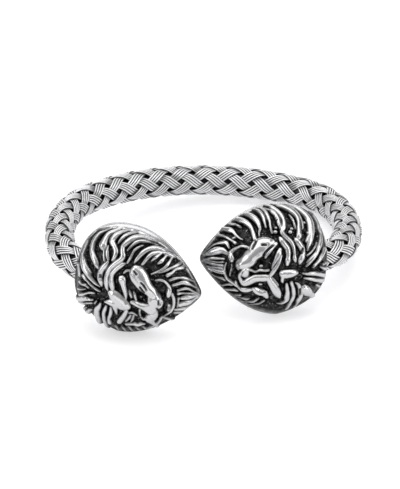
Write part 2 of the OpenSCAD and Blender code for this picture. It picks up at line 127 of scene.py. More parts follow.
# The photograph's view: how far the camera looks down, leans, and how much it sees
LOOK_DOWN = 31.54
CAMERA_LEAN = 2.54
PIXELS_PER_MM = 4.3
IMAGE_W, IMAGE_H = 400, 489
ORIGIN_PIXEL = (205.2, 268.4)
CAMERA_AWAY = 3.0
CLIP_NEAR, CLIP_FAR = 0.1, 20
SENSOR = 36

# The lamps: name, place, size and power
TABLE_SIZE = 4
LAMPS = [
    ("top_light", (0, 0.05, 0.6), (0.7, 0.5), 2.2),
    ("left_light", (-0.5, -0.25, 0.35), (0.3, 0.5), 1.3),
    ("right_light", (0.5, -0.2, 0.3), (0.3, 0.5), 1.3),
    ("front_light", (0, -0.6, 0.12), (0.8, 0.2), 0.7),
    ("back_light", (0, 0.6, 0.3), (0.8, 0.3), 1.3),
]
# The room's greys, from the horizon to straight up: height and grey level
ROOM_GREYS = [(0.0, 0.7), (0.2, 0.5), (0.5, 0.6), (1.0, 0.95)]
ROOM_STRENGTH = 0.75
# The cast silver's greys, from the grooves to the ridges: how worn it is and grey level
WORN_GREYS = [(0.0, 0.006), (0.12, 0.03), (0.35, 0.07), (0.65, 0.26), (1.0, 0.5)]


# Places

def turn(x=0, y=0, z=0):
    """A rotation about X, then Y, then Z, in degrees."""
    return (Matrix.Rotation(radians(z), 4, "Z") @ Matrix.Rotation(radians(y), 4, "Y")
            @ Matrix.Rotation(radians(x), 4, "X"))


def move(x=0, y=0, z=0):
    return Matrix.Translation((x, y, z))


def past_bend(radius, angle):
    """The frame at the end of a bend to the right."""
    a = radians(angle)
    return move(radius * sin(a), -radius * (1 - cos(a))) @ turn(z=-angle)


AT_REST = move(*REST_SHIFT) @ turn(REST_TILT, REST_ROLL, REST_TURN)
MIRROR = Matrix.Diagonal((-1, 1, 1, 1))
TO_METRES = Matrix.Diagonal((MM, MM, MM, 1))


def bends(side_angle):
    return [(SIDE_R, side_angle), (FRONT_R, FRONT_ANGLE), (NECK_R, NECK_ANGLE)]


def arm_start(twist):
    return move(0, BACK_R) @ past_bend(BACK_R, BACK_ANGLE) @ turn(x=twist)


def along_bend(start, radius, angle):
    """Frames every few degrees along a bend, without its first one."""
    count = ceil(abs(angle) / SPINE_TURN)
    return [start @ past_bend(radius, angle * k / count) for k in range(1, count + 1)]


def arm_frames(side_angle, twist):
    place = arm_start(twist)
    frames = []
    for radius, angle in bends(side_angle):
        frames += along_bend(place, radius, angle)
        place = frames[-1]
    return frames + [place @ move(STUB_LEN)]


def band_frames():
    """Frames along the whole band, from the left head to the right one."""
    right = arm_frames(SIDE_ANGLE_RIGHT, -ARM_TWIST)
    left = [MIRROR @ f for f in arm_frames(SIDE_ANGLE_LEFT, ARM_TWIST)]
    half = along_bend(move(0, BACK_R), BACK_R, BACK_ANGLE)
    back = [MIRROR @ f for f in half[::-1]] + [move(0, BACK_R)] + half
    return left[::-1] + back + right


def head_place(side):
    """Where a head sits: side is 1 for the right one, -1 for the left one."""
    if side > 0:
        arm = arm_frames(SIDE_ANGLE_RIGHT, -ARM_TWIST)[-1]
    else:
        arm = MIRROR @ arm_frames(SIDE_ANGLE_LEFT, ARM_TWIST)[-1]
    return AT_REST @ arm @ turn(z=-HEAD_SET) @ move(-SEAT_X, -SEAT_Y) @ turn(x=side * HEAD_TURN + HEAD_LEAN)


# Node trees

class Value:
    """A socket that Python's operators work on: numbers through Math, vectors through Vector Math."""

    def __init__(self, tree, socket):
        self.tree = tree
        self.socket = socket

    def is_vector(self):
        return self.socket.type in ("VECTOR", "RGBA")

    def maths(self, operation, *others):
        vector = self.is_vector() or any(isinstance(o, Value) and o.is_vector() for o in others)
        kind = "ShaderNodeVectorMath" if vector else "ShaderNodeMath"
        made = self.tree.add(kind, {"operation": operation}, dict(enumerate((self, *others))))
        return made["Value"] if operation == "DOT_PRODUCT" else made[0]

    def scaled(self, factor):
        inputs = {"Vector": self, "Scale": factor}
        return self.tree.add("ShaderNodeVectorMath", {"operation": "SCALE"}, inputs)[0]

    def __add__(self, other):
        return self.maths("ADD", other)

    __radd__ = __add__

    def __sub__(self, other):
        return self.maths("SUBTRACT", other)

    def __rsub__(self, other):
        return self.tree.number(other).maths("SUBTRACT", self)

    def __truediv__(self, other):
        return self.maths("DIVIDE", other)

    def __rtruediv__(self, other):
        return self.tree.number(other).maths("DIVIDE", self)

    def __mul__(self, other):
        if self.is_vector():
            return self.scaled(other)
        return self.maths("MULTIPLY", other)

    __rmul__ = __mul__

    def smooth(self, low, high):
        """0 below low and 1 above high, with a soft step between."""
        inputs = {"Value": self, "From Min": low, "From Max": high}
        return self.tree.add("ShaderNodeMapRange", {"interpolation_type": "SMOOTHSTEP"}, inputs)[0]


class Made:
    """A node that was added; its outputs are read by name or number."""

    def __init__(self, tree, node):
        self.tree = tree
        self.node = node

    def __getitem__(self, name):
        return Value(self.tree, self.node.outputs[name])


class Tree:
    """A node tree that nodes are added to."""

    def __init__(self, tree):
        self.tree = tree

    def put(self, socket, value):
        if isinstance(value, Made):
            value = value[0]
        if isinstance(value, Value):
            self.tree.links.new(value.socket, socket)
        else:
            socket.default_value = value

    def add(self, kind, settings=None, inputs=None):
        """A node of a type, with its settings set first and then its sockets' values or links."""
        node = self.tree.nodes.new(kind)
        for name, value in (settings or {}).items():
            if name == "stops":
                while len(node.color_ramp.elements) < len(value):
                    node.color_ramp.elements.new(1)
                for element, (place, colour) in zip(node.color_ramp.elements, value):
                    element.position = place
                    element.color = colour
            else:
                setattr(node, name, value)
        for name, value in (inputs or {}).items():
            self.put(node.inputs[name], value)
        return Made(self, node)

    def number(self, value):
        if isinstance(value, Value):
            return value
        return self.add("ShaderNodeMath", {"operation": "ADD"}, {0: value, 1: 0})[0]


# Finishes

def new_material(name):
    material = bpy.data.materials.new(name)
    material.use_nodes = True
    material.node_tree.nodes.clear()
    return material, Tree(material.node_tree)


def finish_material(tree, shader):
    tree.add("ShaderNodeOutputMaterial", inputs={"Surface": shader})


def grey(level):
    return (level, level, level * 1.01, 1)


def grey_ramp(tree, place, greys):
    """A colour that follows a short table of places and grey levels."""
    stops = [(spot, grey(level)) for spot, level in greys]
    return tree.add("ShaderNodeValToRGB", {"stops": stops}, {0: place})["Color"]


def mixed(tree, factor, first, second):
    inputs = {"Factor": factor, 6: first, 7: second}
    return tree.add("ShaderNodeMix", {"data_type": "RGBA"}, inputs)[2]


def noise(tree, scale, detail=3):
    place = tree.add("ShaderNodeTexCoord")["Object"]
    inputs = {"Vector": place, "Scale": scale, "Detail": detail}
    return tree.add("ShaderNodeTexNoise", inputs=inputs)["Fac"]


def painted_on(tree, name):
    """A number that the mesh holds at each of its points."""
    return tree.add("ShaderNodeAttribute", {"attribute_name": name})["Fac"]


def cast_silver():
    """Cast silver, blackened in the grooves and polished on the ridges."""
    material, tree = new_material("cast_silver")
    polish = painted_on(tree, "polish")
    blotch = noise(tree, scale=900)
    grain = noise(tree, scale=5200, detail=2)
    speck = noise(tree, scale=2300, detail=2).smooth(0.6, 0.72)
    worn = polish + (blotch - 0.45) * 0.7
    colour = grey_ramp(tree, worn, WORN_GREYS)
    colour = mixed(tree, speck * (1 - polish) * 0.3, colour, grey(0.6))
    bump = tree.add("ShaderNodeBump", inputs={
        "Height": (blotch + grain * 0.15) * (1.3 - polish), "Strength": 0.3, "Distance": 0.00008})
    finish_material(tree, tree.add("ShaderNodeBsdfPrincipled", inputs={
        "Base Color": colour,
        "Metallic": 1.0,
        "Roughness": 0.4 - polish * 0.16 + (blotch - 0.5) * 0.14,
        "Normal": bump}))
    return material


def braided_silver():
    """Drawn silver wire, with painted shade between the wires and where a ribbon dips under another."""
    material, tree = new_material("braided_silver")
    rise = painted_on(tree, "rise")
    crest = painted_on(tree, "crest")
    blotch = noise(tree, scale=500)
    grain = noise(tree, scale=5000, detail=2)
    # Painted shade where a ribbon dips under another, broken up by blotches.
    out_of_dip_shade = (rise + (blotch - 0.5) * 0.6).smooth(-1.2, 0.0)
    # Painted shade on the sides of each wire, between the wires, with the outward tops left light grey.
    lit_wire_top = (crest + (grain - 0.5) * 0.2).smooth(0.3, 0.95)
    colour = mixed(tree, lit_wire_top * (out_of_dip_shade * 0.8 + 0.2), grey(0.2), grey(0.76))
    bump = tree.add("ShaderNodeBump", inputs={
        "Height": grain, "Strength": 0.3, "Distance": 0.00004})
    finish_material(tree, tree.add("ShaderNodeBsdfPrincipled", inputs={
        "Base Color": colour,
        "Metallic": 1.0,
        "Roughness": 0.53 + (blotch - 0.5) * 0.2,
        "Normal": bump}))
    return material


def dark_core():
    """A glossy metal rod, seen between the ribbons, coloured near-black as painted shade in the gaps."""
    material, tree = new_material("dark_core")
    blotch = noise(tree, scale=1200)
    finish_material(tree, tree.add("ShaderNodeBsdfPrincipled", inputs={
        # The near-black stands in as painted shade in the gaps between the ribbons.
        "Base Color": mixed(tree, blotch, grey(0.005), grey(0.04)),
        "Metallic": 1.0,
        "Roughness": 0.12 + blotch * 0.15}))
    return material


def table_top():
    material, tree = new_material("table_top")
    finish_material(tree, tree.add("ShaderNodeBsdfPrincipled", inputs={
        "Base Color": grey(0.62), "Roughness": 0.7,
        "Emission Color": grey(1), "Emission Strength": 0.5}))
    return material


# The braid and the core

def spine_object():
    """The band's middle line as a mesh of edges, each point with its outward direction."""
    frames = [TO_METRES @ AT_REST @ f for f in band_frames()]
    mesh = bpy.data.meshes.new("spine")
    points = [f.to_translation() for f in frames]
    mesh.from_pydata(points, [(i, i + 1) for i in range(len(points) - 1)], [])
    outward = mesh.attributes.new("outward", "FLOAT_VECTOR", "POINT")
    for item, f in zip(outward.data, frames):
        item.vector = f.to_3x3().col[1].normalized()
    spine = bpy.data.objects.new("spine", mesh)
    bpy.context.collection.objects.link(spine)
    length = sum((b - a).length for a, b in zip(points, points[1:]))
    return spine, length


def new_tree(name, inputs):
    """A modifier's tree with named inputs: name, socket kind."""
    group = bpy.data.node_groups.new(name, "GeometryNodeTree")
    group.interface.new_socket("Geometry", in_out="INPUT", socket_type="NodeSocketGeometry")
    for label, kind in inputs:
        group.interface.new_socket(label, in_out="INPUT", socket_type="NodeSocket" + kind)
    group.interface.new_socket("Geometry", in_out="OUTPUT", socket_type="NodeSocketGeometry")
    tree = Tree(group)
    return group, tree, tree.add("NodeGroupInput")


def end_tree(tree, geometry, material):
    whole = tree.add("GeometryNodeRealizeInstances", inputs={"Geometry": geometry})
    smooth = tree.add("GeometryNodeSetShadeSmooth", inputs={"Geometry": whole})
    painted = tree.add("GeometryNodeSetMaterial", inputs={"Geometry": smooth, "Material": material})
    tree.add("NodeGroupOutput", inputs={"Geometry": painted})


def braid_tree(material):
    """Round wires laid side by side in ribbons that wind round the spine, over one and under one."""
    group, tree, sizes = new_tree("braid", [
        ("Ribbons", "Int"), ("Wires", "Int"), ("Sides", "Int"), ("Steps", "Int"),
        ("Wire radius", "Float"), ("Wire step angle", "Float"), ("Middle radius", "Float"),
        ("Lift", "Float"), ("Winding", "Float"), ("Hand", "Float"), ("Turn", "Float"), ("Shift", "Float")])
    spine = tree.add("GeometryNodeMeshToCurve", inputs={"Mesh": sizes["Geometry"]})
    length = tree.add("GeometryNodeCurveLength", inputs={"Curve": spine})[0]
    line = tree.add("GeometryNodeMeshLine", inputs={"Count": sizes["Steps"]})
    strand = tree.add("GeometryNodeMeshToCurve", inputs={"Mesh": line})
    copies = tree.add("GeometryNodeDuplicateElements", {"domain": "SPLINE"}, {
        "Geometry": strand, "Amount": sizes["Ribbons"] * sizes["Wires"]})
    number = copies["Duplicate Index"]
    ribbon = (number / sizes["Wires"]).maths("FLOOR")
    wire = number - ribbon * sizes["Wires"]
    offset = (wire - (sizes["Wires"] - 1) * 0.5) * sizes["Wire step angle"]
    share = tree.add("GeometryNodeSplineParameter")["Factor"]
    wound = (share * length - sizes["Shift"]) * sizes["Winding"]
    angle = ribbon * (2 * pi) / sizes["Ribbons"] + wound * sizes["Hand"] + offset + sizes["Turn"]
    wave = (wound * sizes["Ribbons"] + offset * sizes["Hand"] * sizes["Ribbons"] * 0.5).maths("COSINE")
    rise = wave * (1.5 - wave * wave * 0.5) * sizes["Hand"]
    radius = sizes["Middle radius"] + sizes["Lift"] * rise
    outward = tree.add("GeometryNodeInputNamedAttribute", {"data_type": "FLOAT_VECTOR"}, {"Name": "outward"})
    on_spine = tree.add("GeometryNodeSampleCurve", {"mode": "FACTOR", "data_type": "FLOAT_VECTOR"}, {
        "Curves": spine, "Factor": share, "Value": outward["Attribute"]})
    out = on_spine["Value"]
    up = out.maths("CROSS_PRODUCT", on_spine["Tangent"])
    place = (on_spine["Position"] + out * (radius * angle.maths("COSINE"))
             + up * (radius * angle.maths("SINE")))
    laid = tree.add("GeometryNodeSetPosition", inputs={"Geometry": copies["Geometry"], "Position": place})
    marked = tree.add("GeometryNodeStoreNamedAttribute", {"data_type": "FLOAT", "domain": "POINT"}, {
        "Geometry": laid, "Name": "rise", "Value": rise})
    away = out * angle.maths("COSINE") + up * angle.maths("SINE")
    marked = tree.add("GeometryNodeStoreNamedAttribute", {"data_type": "FLOAT_VECTOR", "domain": "POINT"}, {
        "Geometry": marked, "Name": "away", "Value": away})
    profile = tree.add("GeometryNodeCurvePrimitiveCircle", inputs={
        "Resolution": sizes["Sides"], "Radius": sizes["Wire radius"]})
    wires = tree.add("GeometryNodeCurveToMesh", inputs={
        "Curve": marked, "Profile Curve": profile, "Fill Caps": True})
    away = tree.add("GeometryNodeInputNamedAttribute", {"data_type": "FLOAT_VECTOR"}, {"Name": "away"})
    crest = away["Attribute"].maths("DOT_PRODUCT", tree.add("GeometryNodeInputNormal")[0])
    faced = tree.add("GeometryNodeStoreNamedAttribute", {"data_type": "FLOAT", "domain": "POINT"}, {
        "Geometry": wires, "Name": "crest", "Value": crest})
    end_tree(tree, faced, material)
    return group


def core_tree(material):
    group, tree, sizes = new_tree("core", [("Radius", "Float"), ("Sides", "Int")])
    spine = tree.add("GeometryNodeMeshToCurve", inputs={"Mesh": sizes["Geometry"]})
    profile = tree.add("GeometryNodeCurvePrimitiveCircle", inputs={
        "Resolution": sizes["Sides"], "Radius": sizes["Radius"]})
    rod = tree.add("GeometryNodeCurveToMesh", inputs={
        "Curve": spine, "Profile Curve": profile, "Fill Caps": True})
    end_tree(tree, rod, material)
    return group


def grown(name, base, group, values):
    """The mesh that a tree makes from a base object, as a plain object."""
    modifier = base.modifiers.new(name, "NODES")
    modifier.node_group = group
    for item in group.interface.items_tree:
        if item.in_out == "INPUT" and item.name in values:
            modifier[item.identifier] = values[item.name]
    bpy.context.view_layer.update()
    depsgraph = bpy.context.evaluated_depsgraph_get()
    mesh = bpy.data.meshes.new_from_object(base.evaluated_get(depsgraph))
    mesh.name = name
    base.modifiers.remove(modifier)
    piece = bpy.data.objects.new(name, mesh)
    bpy.context.collection.objects.link(piece)
    return piece


def make_braid(spine, length, material):
    """The two sets of ribbons, one for each hand."""
    winding = 2 * pi / BRAID_LEAD
    middle = BAND_R - WIRE_R - BRAID_LIFT - CREST_ROOM
    slope = 1 / (1 + (winding * middle) ** 2) ** 0.5
    waves = length / MM * winding * RIBBONS / (2 * pi)
    group = braid_tree(material)
    ribbons = []
    for name, hand in (("right_hand_ribbons", 1.0), ("left_hand_ribbons", -1.0)):
        ribbons.append(grown(name, spine, group, {
            "Ribbons": RIBBONS, "Wires": WIRES, "Sides": WIRE_SIDES,
            "Steps": int(waves * STEPS_A_WAVE),
            "Wire radius": WIRE_R * MM,
            "Wire step angle": WIRE_STEP / slope / middle,
            "Middle radius": middle * MM,
            "Lift": BRAID_LIFT * MM,
            "Winding": winding / MM,
            "Hand": hand, "Turn": BRAID_TURN, "Shift": BRAID_SHIFT * MM}))
    return ribbons


# The relief of a head. A chart is the raised dome as it is looked at along the chart's sight
# line: across towards the tip, and up, from the head's origin. Each row is a lock or a
# feature; each of its points is its place on the chart and the stroke's half width there.
# The two heads were finished by hand, so each has its own rows.
LEFT_CROWN = [
    [(-3.6, 12.2, .35), (-5, 11.3, .45), (-6, 10.2, .5), (-6.5, 9, .6), (-6.7, 8.2, .7), (-6.1, 7.2, .25),
     (-6, 6, .2), (-5.7, 4.9, .2)],
    [(.5, 12.65, .1), (-1.5, 12.3, .25), (-3, 11.6, .4), (-4.1, 10.6, .5), (-4.6, 9.6, .5), (-4, 8.7, .45),
     (-3.5, 7.8, .45), (-3.4, 7, .45), (-3.6, 6, .35), (-3.9, 5.4, .2)],
    [(-5.2, 8.3, .1), (-5.4, 7.2, .28), (-5.2, 6.2, .28), (-4.9, 5.3, .2)],
    [(1.6, 12.35, .15), (0, 12.1, .25), (-1.2, 11.5, .33), (-2.1, 10.7, .33), (-2.7, 9.9, .25),
     (-3, 9.3, .12)],
    [(4.8, 10.3, .12), (3.4, 10.6, .25), (2, 10.5, .28), (1, 10.1, .28), (.3, 9.4, .22), (-.3, 8.7, .18),
     (-.7, 8.1, .12)],
    [(2.7, 9.6, .12), (1.6, 9, .22), (.8, 8.2, .22), (.4, 7.2, .22), (0, 6.2, .22), (-.4, 5.3, .15)],
    [(8.6, 9, .3), (7, 9.3, .38), (5.6, 9.4, .4), (4.3, 9.1, .42), (3.3, 8.5, .42), (2.6, 7.8, .4),
     (2.1, 7.1, .35), (1.6, 6.3, .28), (1.2, 5.6, .12)],
    [(9.2, 8.2, .4), (7.8, 8.5, .25), (6.4, 8.5, .3), (5.2, 8.1, .35), (4.4, 7.4, .33), (3.8, 6.5, .3),
     (3.3, 5.7, .25), (3, 5.4, .15)],
]
LEFT_FAR_SIDE = [
    [(6.7, 7.9, .2), (5.9, 7.2, .28), (5.1, 6.4, .12)],
    [(8.1, 7.4, .22), (7.5, 6.6, .33), (6.7, 6, .15)],
    [(9.6, 7, .2), (8.9, 5.8, .28), (8, 4.9, .2), (7, 4.3, .18), (5.5, 3.5, .15)],
    [(11, 5.8, .25), (9.8, 5.2, .2), (8.6, 4.5, .18), (7.2, 4, .12)],
    [(12.2, 5.3, .3), (11, 4.9, .2), (10.2, 4.1, .25), (9.3, 3.5, .33)],
    [(9.9, 2.4, .2), (10.8, 2.8, .25), (12, 3.1, .2), (13.2, 3.1, .25), (14.2, 2.9, .2)],
    [(10.8, 1.3, .2), (11.8, 1.6, .25), (12.8, 2, .3), (14, 2, .38), (15, 1.6, .2)],
    [(12.1, .1, .2), (12.8, .4, .2), (13.8, .65, .25), (14.8, .5, .2), (15.8, 0, .15)],
    [(12.3, -.7, .25), (13.2, -.5, .15), (14.6, -.5, .15), (15.9, -.5, .15), (16.7, -.9, .15)],
    [(12.5, -1.9, .25), (12.5, -2.5, .15)],
    [(13.3, -1.8, .3), (14.6, -1.6, .4), (16, -1.3, .25)],
    [(13.1, -3.6, .4), (14.2, -3.2, .5), (15.4, -2.9, .4), (16, -2.4, .3)],
    [(12.1, -4.8, .2), (13, -4.7, .3), (14.2, -4.6, .35)],
    [(12, -5.6, .2), (13, -5.6, .25)],
    [(10.9, -.9, .25), (11.4, -2, .3), (11.6, -3.2, .3), (11.5, -4.4, .3), (11, -5.5, .28),
     (10.1, -6.3, .18)],
    [(10.4, -3.6, .25), (10.4, -4.6, .3)],
]
LEFT_REAR = [
    [(-6.3, 11.3, .2), (-7.6, 10.4, .33), (-8.4, 9.4, .4), (-8.9, 8.2, .42), (-9, 7, .4), (-8.9, 6, .42),
     (-8.5, 5.2, .5), (-8, 4.4, .48), (-7.5, 3.6, .42), (-7, 3, .25)],
    [(-11.3, 5, .2), (-11.5, 3, .3), (-11.4, 1.5, .3), (-11, 0, .35)],
    [(-10.6, 6.4, .3), (-11, 4.6, .35), (-10.8, 3, .48), (-10.2, 1.8, .58), (-9.4, 1, .5), (-8.6, .2, .4),
     (-7.8, -.4, .3), (-7, -.9, .25), (-6, -1.3, .12)],
    [(-10.4, 3.8, .28), (-9.8, 3, .18), (-9.1, 2.2, .14), (-8.4, 1.5, .12)],
    [(-10.2, .2, .33), (-9.6, -.4, .3), (-9, -.8, .2), (-8.4, -1.3, .2), (-7.4, -1.9, .2), (-6.6, -2.3, .22),
     (-5.8, -2.5, .15)],
    [(-10.8, -1.6, .3), (-10.2, -2, .2), (-9.4, -1.9, .28), (-8.6, -2.3, .18)],
    [(-10.9, -3.6, .3), (-10, -3.3, .2), (-9.2, -2.9, .12)],
    [(-10.4, -5.2, .3), (-9.6, -4.6, .3), (-8.8, -3.9, .22), (-8, -3.5, .22), (-7, -3.3, .15)],
    [(-10, -6.6, .45), (-9.2, -5.8, .5), (-8.2, -5.5, .3), (-7.2, -5.2, .18)],
    [(-9.6, -7.6, .3), (-8.8, -7, .2), (-8, -6.5, .2), (-7.2, -6.2, .18)],
    [(-8.7, -9.8, .3), (-8.7, -8.9, .2), (-8.3, -8.2, .12)],
    [(-8, -10.3, .38), (-7.8, -9.4, .33), (-7.5, -8.6, .25), (-7, -8.2, .12)],
    [(-6.3, -5.3, .15), (-6.6, -6, .2)],
]
LEFT_BEARD = [
    [(-1.2, -10.7, .12), (-.6, -11.4, .2), (-.2, -12, .1)],
    [(.4, -10.7, .12), (1, -11.4, .2), (1.5, -12, .1)],
    [(2, -10.5, .12), (2.6, -11.2, .2), (3.1, -11.7, .1)],
    [(3.6, -10.2, .12), (4.2, -10.9, .2), (4.7, -11.3, .1)],
    [(5.2, -9.9, .12), (5.8, -10.5, .2), (6.2, -10.9, .1)],
]
LEFT_FORELOCKS = [
    [(-5, 4.6, .3), (-5.7, 3.6, .52), (-6.2, 2.6, .52), (-6.4, 1.6, .48), (-6.4, .6, .4), (-6, -.2, .42),
     (-5.6, -1, .2)],
    [(5.6, 11, .25), (4, 11.4, .38), (2.4, 11.6, .42), (1, 11.4, .45), (-.2, 10.7, .48), (-1.2, 9.8, .48),
     (-1.9, 8.9, .4), (-1.9, 7.8, .42), (-1.7, 6.8, .48), (-2, 5.9, .48), (-2.9, 5, .48), (-3.8, 4, .45),
     (-4.4, 3, .42), (-4.7, 2, .42), (-4.8, 1, .4), (-4.7, 0, .42), (-4.4, -1.2, .32), (-4, -1.9, .12)],
    [(-1, 5, .2), (-1.7, 4.6, .38), (-2.5, 3.8, .4), (-3.2, 2.9, .4), (-3.6, 2, .4), (-3.6, .8, .4),
     (-3.4, -.3, .48), (-3.1, -1.2, .42), (-2.7, -2, .15)],
]
LEFT_SIDE_LOCKS = [
    [(-5.3, -5.6, .2), (-5.6, -6.8, .38), (-6, -8, .5), (-5.9, -9.2, .55), (-5.6, -10.4, .58),
     (-5.3, -11.6, .5)],
    [(-3.9, -5.9, .2), (-4.1, -7, .33), (-4.3, -8.2, .33), (-4.1, -9.4, .35), (-3.8, -10.6, .38),
     (-3.4, -11.5, .35)],
    [(-2.8, -6.1, .2), (-2.7, -7, .3), (-2.7, -8, .33), (-2.9, -9.4, .28), (-2.6, -10.6, .42)],
]
LEFT_FACE = [
    [(1.7, 4, .8), (2.3, 3, 1.4), (3.1, 2, 1.4), (4, .9, 1.2), (5, -.1, 1), (6, -.9, .95), (6.9, -1.8, 1.05),
     (7.1, -2.7, 1.2), (7, -3.4, 1)],
    [(8.3, -2.4, .2), (8.8, -3, .25), (8.6, -3.9, .33), (8.2, -4.4, .25)],
    [(-1.4, 1.7, .3), (-1.2, 1.2, .65), (-.8, .2, .5), (-.4, -.8, .42), (.1, -2, .35), (.4, -3.2, .15)],
    [(-.9, 2.9, .15), (-.4, 3.5, .22), (.2, 3.7, .15)],
    [(.9, -1, .12), (1.2, -1.8, .22), (1.6, -2.6, .18)],
    [(2, -1.2, .1), (2.4, -2.2, .25), (2.8, -3, .22)],
    [(1.8, -3.9, .3), (3, -4.2, .45), (4.3, -4.7, .5), (5.5, -5.2, .7), (6.5, -5.7, .95)],
    [(3.9, -5.4, .2), (4, -6.4, .15), (4.6, -7.4, .15), (5.4, -7.9, .2)],
    [(7.8, -5.4, .2), (7.7, -6.6, .5), (7.1, -7.6, .95), (6.7, -8.3, .8), (7.5, -9, .4)],
    [(9.3, -6.9, .2), (8.9, -8, .28), (8.4, -9, .28), (7.6, -9.7, .28)],
    [(9.6, -7, .2), (11.2, -7.6, .25)],
    [(.9, -6.3, .3), (.5, -7.6, .4), (.1, -8.6, .45), (-.4, -9.7, .45)],
    [(2, -7.2, .15), (1.6, -8.2, .25), (1.1, -9, .15)],
    [(2.7, -7.1, .15), (2.6, -8.2, .2), (2.3, -8.9, .12)],
    [(1.6, -6.7, .15), (2.4, -6.5, .18), (3.4, -7, .15)],
    [(1.3, -9.9, .25), (2.6, -9.7, .3), (4, -9.4, .3), (5.4, -9.2, .25)],
    [(-3.4, -2.5, .5), (-2.7, -3.1, .9), (-2, -3.9, 1.2), (-1.1, -4.7, 1.3), (-.2, -5.2, 1.1),
     (.9, -5.3, .6)],
    [(-4.2, -4.9, .25), (-3.2, -5, .6), (-2, -5.2, .9)],
    [(-1.9, -6, .5), (-1.2, -7.5, .12)],
    [(6.6, 2.1, .1), (7.6, 2.3, .2), (8.6, 2.1, .25), (9.4, 1.4, .3), (10, .6, .38), (10.2, -.2, .5),
     (10.1, -1.3, .4)],
]
RIGHT_CROWN = [
    [(-3, 12.3, .3), (-4.6, 11.6, .4), (-6, 10.6, .5), (-7.2, 9.6, .6), (-8.1, 8.4, .65), (-8.5, 7, .68),
     (-8.6, 5.6, .65), (-8.5, 4.4, .6), (-8.3, 3.2, .5), (-8, 2.2, .4), (-7.6, 1.2, .25), (-7.4, .4, .15)],
    [(-7.9, 4, .25), (-7.5, 3.2, .22), (-7.1, 2.4, .15)],
    [(.4, 12.5, .4), (-.8, 11.9, .45), (-2, 11.2, .42), (-3.2, 10.5, .38), (-4.2, 9.7, .38), (-5, 8.8, .35),
     (-5.4, 7.8, .33), (-5.5, 6.8, .3), (-5.5, 5.8, .33), (-5.6, 4.8, .42), (-5.6, 3.8, .5),
     (-5.4, 3.1, .35)],
    [(-2.6, 11.5, .12), (-3.8, 10.9, .18), (-4.8, 10, .18), (-5.6, 9, .18), (-6, 8, .18), (-6.3, 7, .18),
     (-6.4, 6, .18), (-6.3, 5.4, .12)],
    [(-3.2, 8.8, .12), (-3.8, 8.1, .2), (-4.2, 7.2, .2), (-4.5, 6.3, .2), (-4.6, 5.4, .12)],
    [(1.7, 10.2, .15), (.8, 9.8, .33), (0, 9, .35), (-.5, 8, .35), (-.8, 7, .35), (-1, 6.2, .3),
     (-1.3, 5.4, .25)],
    [(4.4, 11.5, .25), (3.4, 10.8, .28), (2.6, 10, .3), (2, 9, .33), (1.6, 8, .33), (1.3, 7, .25),
     (1.2, 6, .2), (1, 5, .2), (.8, 4.1, .15)],
    [(5.4, 11.2, .22), (4.4, 10.4, .28), (3.5, 9.5, .33), (2.9, 8.4, .33), (2.6, 7.4, .28), (2.4, 6.4, .2),
     (2.2, 5.5, .12)],
    [(7.6, 9.8, .4), (6.4, 9.3, .45), (5.4, 8.6, .5), (4.6, 7.8, .5), (4.1, 7, .45), (3.8, 6.1, .35),
     (3.6, 5.2, .25), (3.8, 4.3, .2), (3.8, 3.4, .15)],
    [(9.6, 8.6, .4), (8.4, 8.1, .5), (7.2, 7.4, .5), (6.3, 6.5, .45), (5.7, 5.5, .4), (5.3, 4.5, .38),
     (5, 3.5, .38), (4.8, 2.7, .33)],
]
RIGHT_FAR_SIDE = [
    [(10.6, 7, .3), (9.4, 6.7, .2), (8.6, 6.2, .2), (8, 5.7, .12)],
    [(11.8, 6, .4), (10.8, 5.6, .5), (9.9, 4.9, .35), (9.2, 4, .25), (8.4, 3.2, .2), (7.7, 2.7, .15)],
    [(9.5, 3.3, .2), (9.9, 3.2, .18)],
    [(13.2, 4.4, .25), (12.2, 4, .2), (11.2, 3.4, .22), (10.4, 2.8, .2), (9.4, 2, .28)],
    [(10.8, .9, .2), (11.5, 2.2, .35), (12.4, 2.3, .28), (13.4, 2.2, .22), (14.6, 1.8, .2), (15.4, 1.3, .15)],
    [(11.2, -.7, .2), (11.8, 0, .42), (12.8, .6, .6), (14, .6, .65), (15.2, .3, .55), (16.4, .1, .35)],
    [(12, -1.6, .18), (13.4, -1.4, .2), (14.8, -1.2, .25), (16, -1.3, .2)],
    [(12.2, -2.3, .15), (13.4, -2.3, .12), (14.6, -2, .12)],
    [(12.3, -3.1, .18), (13.6, -2.9, .2), (14.8, -2.5, .2), (15.6, -2.2, .15)],
    [(12.4, -3.8, .2), (13.4, -3.6, .2), (14.6, -3.3, .15)],
    [(12.1, -4.6, .35), (13.2, -4.4, .3), (14.3, -4, .25)],
    [(11.5, -2.6, .15), (11.9, -3.6, .18), (11.9, -4.6, .2), (11.7, -5.4, .25), (11.2, -6.2, .25),
     (10.4, -6.8, .25)],
    [(10.2, -3, .12), (10.3, -4, .15), (10.6, -5.3, .15)],
]
RIGHT_BEARD = [
    [(13.6, -5.4, .1), (12.4, -5.9, .2), (11.8, -6.3, .15)],
    [(12.2, -7.2, .15), (11.2, -7.2, .2), (10.2, -7.4, .18)],
    [(10.6, -8.3, .22), (9.6, -8.5, .25), (9, -8.7, .18)],
    [(9.6, -9.4, .12), (8.4, -9.6, .2)],
    [(8.2, -10.1, .12), (7, -10.5, .2), (6.2, -10.4, .1)],
    [(6.6, -11, .12), (5.4, -11.1, .2), (4.4, -10.7, .15), (4, -10.4, .1)],
    [(5.6, -11.6, .1), (4, -11.5, .15), (2.8, -11, .12)],
]
